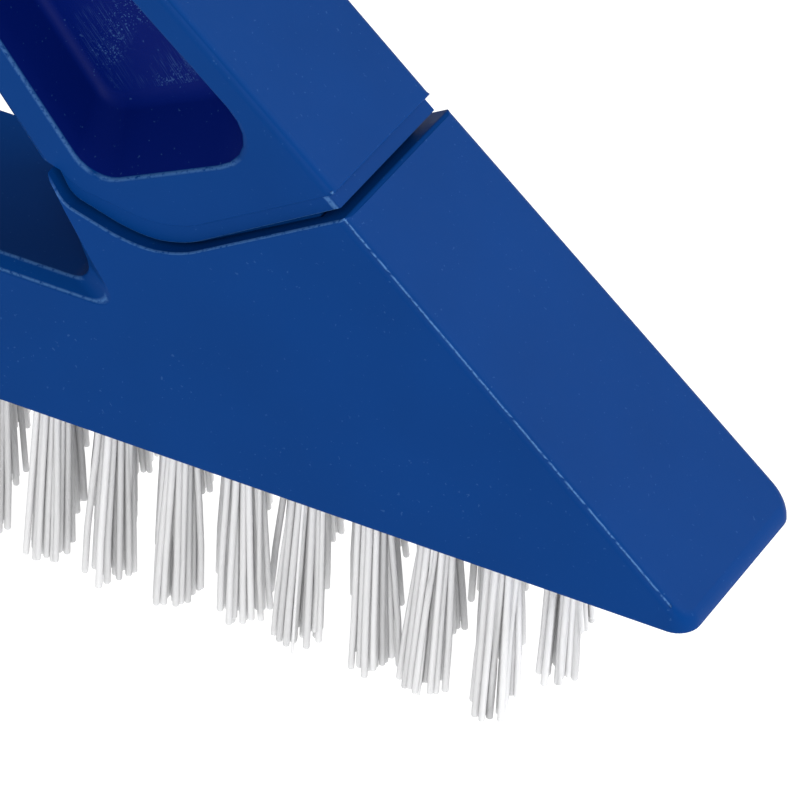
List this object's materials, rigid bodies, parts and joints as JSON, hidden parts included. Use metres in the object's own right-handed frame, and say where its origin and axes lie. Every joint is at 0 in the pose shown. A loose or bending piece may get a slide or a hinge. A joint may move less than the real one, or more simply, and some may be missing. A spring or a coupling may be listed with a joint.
{
  "type": "pool wall brush",
  "caption": "Straight pole-mounted scrub brush for pool walls: wedge-ended base with staggered tufts, A-shaped upper frame, hub and pole stem with a sprung two-button clip.",
  "frame": {"origin": "middle of the brush in the plane of the bristle tips", "axes": "+X along the brush, -Y towards the front face, +Z from the bristle tips towards the pole stem"},
  "size_m": [0.25, 0.052, 0.19],
  "materials": {
    "blue_plastic": "satin injection moulding",
    "white_filament": "translucent nylon filament",
    "stainless_steel": "plain stainless steel",
    "satin_aluminium": "satin anodised, drawn lengthwise",
    "spring_steel": "bright spring steel"
  },
  "bodies": {
    "brush": {"brush_base": "blue_plastic", "bristle_plate": "blue_plastic", "bristle_row_front": "white_filament", "bristle_row_middle": "white_filament", "bristle_row_rear": "white_filament", "plate_screw_1": "stainless_steel", "plate_screw_2": "stainless_steel", "plate_screw_3": "stainless_steel", "plate_screw_4": "stainless_steel", "handle_frame": "blue_plastic", "frame_screw_left": "stainless_steel", "frame_screw_right": "stainless_steel", "pole_stem": "satin_aluminium", "stem_bolt": "stainless_steel", "stem_nut": "stainless_steel", "stem_washer_front": "stainless_steel", "stem_washer_rear": "stainless_steel", "clip_bow": "spring_steel"},
    "clip_left": {"clip_leg_left": "spring_steel", "clip_button_left": "spring_steel"},
    "clip_right": {"clip_leg_right": "spring_steel", "clip_button_right": "spring_steel"}
  },
  "joints": [
    {"name": "clip_press_left", "type": "hinge", "parent": "brush", "child": "clip_left", "pos_m": [-0.0019, 0, 0.11145], "axis": [0, 1, 0], "range_deg": [0, 5.3], "stiffness_Nm_per_rad": 1.5},
    {"name": "clip_press_right", "type": "hinge", "parent": "brush", "child": "clip_right", "pos_m": [0.0019, 0, 0.11145], "axis": [0, -1, 0], "range_deg": [0, 5.3], "stiffness_Nm_per_rad": 1.5}
  ]
}
